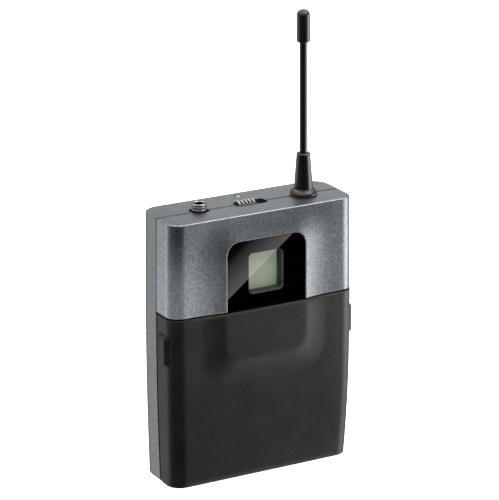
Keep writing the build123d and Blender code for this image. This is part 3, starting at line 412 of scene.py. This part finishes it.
def studio_light(tree, direction):
    """Soft light from each direction: a bright strip to the right, dark on the camera's side."""
    x, y, z = (tree.part_of(direction, axis) for axis in range(3))
    azimuth = tree.times(tree.math("ARCTAN2", x, tree.times(y, -1.0)), 180 / math.pi)
    curve = tree.node("ValToRGB")
    ramp = curve.color_ramp
    ramp.interpolation = "B_SPLINE"
    while len(ramp.elements) < len(LIGHT_ROUND):
        ramp.elements.new(0.5)
    for element, (angle, level) in zip(ramp.elements, LIGHT_ROUND):
        element.position = (angle + 180) / 360
        element.color = grey(level / LIGHT_SCALE)
    tree.join(tree.ramp(azimuth, -180, 180, smooth=False), curve.inputs[0])
    around = tree.times(curve.outputs[0], LIGHT_SCALE)
    sky = tree.ramp(z, 0.35, 0.8, 0.51, 2.6)
    lamp = tree.ramp(tree.dot(direction, LAMP_TOWARDS), 0.86, 0.96, 0.0, 2.3)
    return tree.mix(tree.ramp(z, 0.02, 0.2), around, tree.math("ADD", sky, lamp))


def painted_card_reflection(tree, direction):
    """A painted reflection of a small card in the window, with no card in the scene: where it is, and
    how bright each part of it looks.

    Its places are slopes from straight ahead. It is dark to the right of its slanting edge, and
    palest along the left of it."""
    middle_up = -0.32
    half_size = 0.045
    outline_blur = 0.005
    edge_up = -0.32163  # of the slanting edge, straight ahead
    edge_slope = 1.0293
    edge_blur = 0.0001
    fade_width = 0.0125
    palest = 0.09
    darkest = 0.002
    ahead = tree.dot(direction, (math.sin(YAW), -math.cos(YAW), 0))
    right = tree.dot(direction, (math.cos(YAW), math.sin(YAW), 0))
    across = tree.math("DIVIDE", right, ahead)
    up = tree.math("DIVIDE", tree.part_of(direction, 2), ahead)
    inside = tree.math("GREATER_THAN", ahead, 0.0)
    for slope in (across, tree.math("SUBTRACT", up, middle_up)):
        away = tree.math("ABSOLUTE", slope)
        outline = tree.ramp(away, half_size + outline_blur, half_size - outline_blur)
        inside = tree.times(inside, outline)
    left_of_edge = tree.math(
        "SUBTRACT", tree.math("SUBTRACT", up, edge_up), tree.times(across, edge_slope)
    )
    lit = tree.ramp(left_of_edge, -edge_blur, edge_blur)
    fade = tree.ramp(left_of_edge, 0.0, fade_width, palest, darkest, smooth=False)
    return inside, tree.times(inside, lit, fade)


# ---------------------------------------------------------------- display and lamp
def window_clear():
    """Thin clear acrylic that lets the rest through; its faint reflection of the studio at its front
    face is a painted reflection, drawn as a glow.
    """
    made, tree = new_material("window_clear")
    smudge = tree.noise(0.15, 4)
    through = tree.node("BsdfTransparent")
    tree.join(tree.mix(tree.spread(smudge, 0.0, 1.0), grey(0.93), grey(0.96)), through.inputs["Color"])
    fresnel = tree.node("Fresnel")
    fresnel.inputs["IOR"].default_value = 1.5
    direction = tree.node("TexCoord").outputs["Reflection"]
    inside, painted_card_glow = painted_card_reflection(tree, direction)
    share = tree.times(
        fresnel.outputs[0], tree.rest_of(inside), tree.ramp(smudge, 0.3, 0.8, 0.5, 0.4)
    )
    level = tree.math("ADD", tree.times(studio_light(tree, direction), share), painted_card_glow)
    front = tree.math("LESS_THAN", tree.node("NewGeometry").outputs["Backfacing"], 0.5)
    # painted reflection: the studio and the card are drawn on the front face as a glow, not traced
    painted_reflection_glow = tree.node("Emission")
    tree.join(tree.times(level, front), painted_reflection_glow.inputs["Strength"])
    both = tree.node("AddShader")
    tree.join(through.outputs[0], both.inputs[0])
    tree.join(painted_reflection_glow.outputs[0], both.inputs[1])
    # the sawn edges are painted black
    flat = tree.math("ABSOLUTE", tree.part_of(tree.facing(), 1))
    paint = tree.node("BsdfDiffuse")
    paint.inputs["Color"].default_value = grey(0.004)
    whole = tree.node("MixShader")
    tree.join(tree.math("LESS_THAN", flat, 0.9), whole.inputs[0])
    tree.join(both.outputs[0], whole.inputs[1])
    tree.join(paint.outputs[0], whole.inputs[2])
    output = tree.node("OutputMaterial")
    tree.join(whole.outputs[0], output.inputs["Surface"])
    return made


def mask_print():
    """Black print round the display, whose thin cut edge is painted pale as a highlight."""
    made, tree = new_material("mask_black")
    flat = tree.math("ABSOLUTE", tree.part_of(tree.facing(), 1))
    cloud = tree.noise(0.4, 4)
    black = tree.mix(tree.spread(cloud, 0.0, 1.0), grey(0.0003), grey(0.0006))
    # painted highlight: the thin cut edge is drawn pale
    color = tree.mix(tree.math("LESS_THAN", flat, 0.5), black, grey(0.32))
    fine = tree.bump(tree.noise(5.0, 2), 0.004)
    surface(tree, color, 0.0, tree.spread(cloud, 0.45, 0.55), fine, Specular_IOR_Level=0.0)
    return made


def lcd_glass():
    """Pale grey-green display, darker where its frame shades it at the right and the bottom."""
    low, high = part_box("lcd_panel")
    middle = (low + high) / 2
    edge = 6.0 * MM  # from the middle to the frame
    made, tree = new_material("lcd_glass")
    place = tree.place()
    right = tree.part_of(place, 0)
    height = tree.part_of(place, 2)
    shade = tree.math(
        "MAXIMUM",
        tree.ramp(right, middle.x + edge - 0.9 * MM, middle.x + edge - 0.1 * MM),
        tree.ramp(height, middle.z - edge + 0.5 * MM, middle.z - edge - 0.3 * MM),
    )
    grain = tree.spread(tree.noise(6.0, 2), 0.0, 1.0)
    pale = tree.mix(grain, (0.235, 0.275, 0.205, 1), (0.25, 0.29, 0.22, 1))
    color = tree.mix(shade, pale, (0.02, 0.045, 0.015, 1))
    surface(tree, color, 0.0, 0.4, Specular_IOR_Level=0.1)
    return made


def lamp_green():
    """Green lamp: a pale glowing core, nearer the front left, inside a deep green rim."""
    low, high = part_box("lamp_lens")
    middle = (low + high) / 2
    made, tree = new_material("lamp_green")
    away = tree.node("VectorMath", operation="DISTANCE")
    tree.join(tree.place((1, 1, 0)), away.inputs[0])
    away.inputs[1].default_value = (middle.x - 0.3 * MM, middle.y - 0.6 * MM, 0)
    core = tree.ramp(away.outputs["Value"], 0.85 * MM, 0.25 * MM)
    streak = tree.spread(tree.noise(1.5, 3), 0.85, 1.0)
    surface(
        tree,
        (0.005, 0.07, 0.025, 1),
        0.0,
        tree.ramp(streak, 0.8, 1, 0.2, 0.3),
        tree.bump(streak, 0.01),
        Emission_Color=tree.mix(core, (0.0, 0.08, 0.02, 1), (0.3, 0.95, 0.5, 1)),
        Emission_Strength=tree.times(streak, 0.9),
    )
    return made


# ---------------------------------------------------------------- inner pieces
def plain(name, color, roughness=0.5, **extra):
    """A surface with gentle colour and roughness variation, for pieces seen in passing."""
    made, tree = new_material(name)
    cloud = tree.noise(0.4, 4)
    darker, lighter = (
        tuple(channel * change for channel in color) + (1.0,) for change in (0.88, 1.12)
    )
    blend = tree.mix(tree.spread(cloud, 0.0, 1.0), darker, lighter)
    rough = tree.spread(cloud, roughness - 0.05, roughness + 0.05)
    surface(tree, blend, 0.0, rough, tree.bump(tree.noise(5.0, 2), 0.006), **extra)
    return made


def cell_sleeve():
    """Printed sleeve of a cell: charcoal with a copper band at its positive end, and bare steel ends."""
    low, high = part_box("lower_cell")
    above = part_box("upper_cell")[0].z
    band_length = 14.0 * MM
    bare_front = 2.2 * MM
    bare_back = 1.0 * MM
    step = 0.1 * MM
    made, tree = new_material("cell_sleeve")
    place = tree.place()
    # the two cells lie opposite ways round
    flipped = tree.math("GREATER_THAN", tree.part_of(place, 2), above)
    along = tree.times(tree.part_of(place, 0), tree.blend(flipped, 1.0, -1.0))
    band = tree.ramp(along, high.x - band_length, high.x - band_length + step)
    steel = tree.math(
        "MAXIMUM",
        tree.ramp(tree.math("ABSOLUTE", along), high.x - bare_front, high.x - bare_front + step),
        tree.ramp(along, low.x + bare_back, low.x + bare_back - step),
    )
    scuff = tree.noise(0.35, 5, 0.65)
    color = tree.mix(band, grey(0.022, (1.0, 1.05, 1.15)), (0.42, 0.16, 0.06, 1))
    scuffed = tree.mix(tree.ramp(scuff, 0.62, 0.8), color, grey(0.12))
    surface(
        tree,
        tree.mix(steel, scuffed, grey(0.55)),
        tree.math("MAXIMUM", steel, tree.times(band, 0.7)),
        tree.spread(scuff, 0.26, 0.38),
        tree.bump(scuff, 0.01),
    )
    return made


# ---------------------------------------------------------------- finishes of the pieces
WARM = (1.05, 1.0, 0.95)
NEUTRAL = (1.0, 1.0, 1.0)
MATERIALS = {
    "silver_paint": silver_paint(),
    "cover_black": cover_plastic(),
    "bezel_olive": plain("bezel_olive", (0.04, 0.05, 0.033), Specular_IOR_Level=0.1),
    "antenna_black": textured_plastic("antenna_black", 0.0025, WARM, 0.15, 0.5, 0.002, 0.1),
    "inner_black": textured_plastic("inner_black", 0.012, NEUTRAL, 0.55, 0.4, 0.02),
    "window_clear": window_clear(),
    "mask_black": mask_print(),
    "lcd_glass": lcd_glass(),
    "light_guide": plain("light_guide", (0.7, 0.74, 0.66), 0.4),
    "board_green": plain("board_green", (0.01, 0.09, 0.035), 0.3),
    "chip_black": plain("chip_black", (0.02, 0.02, 0.02)),
    "tinned_steel": plated("tinned_steel", 0.6, (1.0, 1.0, 0.98), 0.35),
    "nickel": plated("nickel", 0.32, (1.0, 0.95, 0.9), 0.14),
    "brass_part": plated("brass_part", 0.6, (1.1, 0.8, 0.4), 0.3),
    "spring_steel": plated("spring_steel", 0.55, (1.0, 1.0, 1.02), 0.25),
    "screw_steel": plated("screw_steel", 0.2, NEUTRAL, 0.35),
    "cell_sleeve": cell_sleeve(),
    "key_grey": textured_plastic("key_grey", 0.12, (1.0, 1.0, 1.02), 0.5, 0.4, 0.01),
    "key_red": textured_plastic("key_red", 0.3, (1.2, 0.09, 0.07), 0.45, 0.4, 0.01),
    "lamp_green": lamp_green(),
}
# pieces whose finish differs from the rest of their slot
OWN = {
    "switch_knob": ribbed_knob(),
    "mute_switch_body": MATERIALS["chip_black"],
    "jack_barrel": plated("socket_nickel", 0.36, (1.0, 0.95, 0.9), 0.14, front_left_shade=0.75),
}
for part in frame["record"]["subparts"]:
    for slot in frame["nodes"][part["node"]].material_slots:
        slot.material = OWN.get(part["node"]) or MATERIALS[part["material_slot"]]


# ---------------------------------------------------------------- catch springs
def catch_coil(side):
    """A smooth-shaded copy of the catch spring that moves with the battery cover, in place of the spring
    itself.
    """
    node = frame["nodes"][f"{side}_catch_spring"]
    coil = node.copy()
    coil.data = node.data.copy()
    coil.name = f"{side}_catch_coil"
    coil.parent = None
    scene.collection.objects.link(coil)
    for polygon in coil.data.polygons:
        polygon.use_smooth = True
    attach(coil, "battery_cover")
    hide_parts(node.name)
    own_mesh(coil)


catch_coil("left")
catch_coil("right")


# ---------------------------------------------------------------- stage
def floor():
    """White sheet, lit so evenly that it hardly shows a shadow, below the cover when it lies open."""
    reach = 3.0
    gap = 0.5 * MM
    glow = 0.8  # light of its own, which only the camera sees
    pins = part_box("cover_hinge_pins")
    hinge = (pins[0] + pins[1]) / 2
    level = hinge.z - (hinge.y - COVER_LOW.y) - gap
    mesh = bpy.data.meshes.new("floor")
    signs = ((-1, -1), (1, -1), (1, 1), (-1, 1))
    mesh.from_pydata([(x * reach, y * reach, level) for x, y in signs], [], [(0, 1, 2, 3)])
    sheet = bpy.data.objects.new("floor", mesh)
    scene.collection.objects.link(sheet)
    made, tree = new_material("floor_white")
    color = tree.mix(tree.noise(0.002, 2), grey(0.88), grey(0.92))
    seen = tree.times(tree.node("LightPath").outputs["Is Camera Ray"], glow)
    surface(tree, color, 0.0, 0.8, Emission_Color=grey(1.0), Emission_Strength=seen)
    mesh.materials.append(made)
    sheet.visible_glossy = False


def surroundings():
    """The studio's light all round the object, on a backdrop that the camera sees as white."""
    world = bpy.data.worlds.new("studio")
    scene.world = world
    world.use_nodes = True
    world.node_tree.nodes.clear()
    tree = Tree(world.node_tree)
    level = studio_light(tree, tree.node("TexCoord").outputs["Generated"])
    background = tree.node("Background")
    by_camera = tree.node("LightPath").outputs["Is Camera Ray"]
    tree.join(tree.mix(by_camera, level, grey(1.0)), background.inputs["Color"])
    output = tree.node("OutputWorld")
    tree.join(background.outputs[0], output.inputs["Surface"])


def camera():
    """A level long-lens camera, whose view is shifted down on the object."""
    place = Vector((-0.4840, -0.8690, 0.3804))
    shifts = {"shift_x": -0.0125, "shift_y": -1.9704}
    same_place = 0.1 * MM
    data = bpy.data.cameras.new("camera")
    data.sensor_width = 36.0
    data.lens = 225.3
    data.clip_start = 0.05
    data.clip_end = 20
    eye = bpy.data.objects.new("camera", data)
    scene.collection.objects.link(eye)
    eye.location = place
    eye.rotation_euler = (math.pi / 2, 0, -YAW)
    # the shift belongs to this place only, so a camera that is moved elsewhere looks straight ahead
    for name, shift in shifts.items():
        driver = data.driver_add(name).driver
        driver.type = "SCRIPTED"
        side = driver.variables.new()
        side.name = "x"
        side.type = "TRANSFORMS"
        side.targets[0].id = eye
        side.targets[0].transform_type = "LOC_X"
        side.targets[0].transform_space = "WORLD_SPACE"
        driver.expression = f"{shift} if abs(x - {place.x}) < {same_place} else 0.0"
    scene.camera = eye


floor()
surroundings()
camera()
scene.view_settings.view_transform = "Standard"
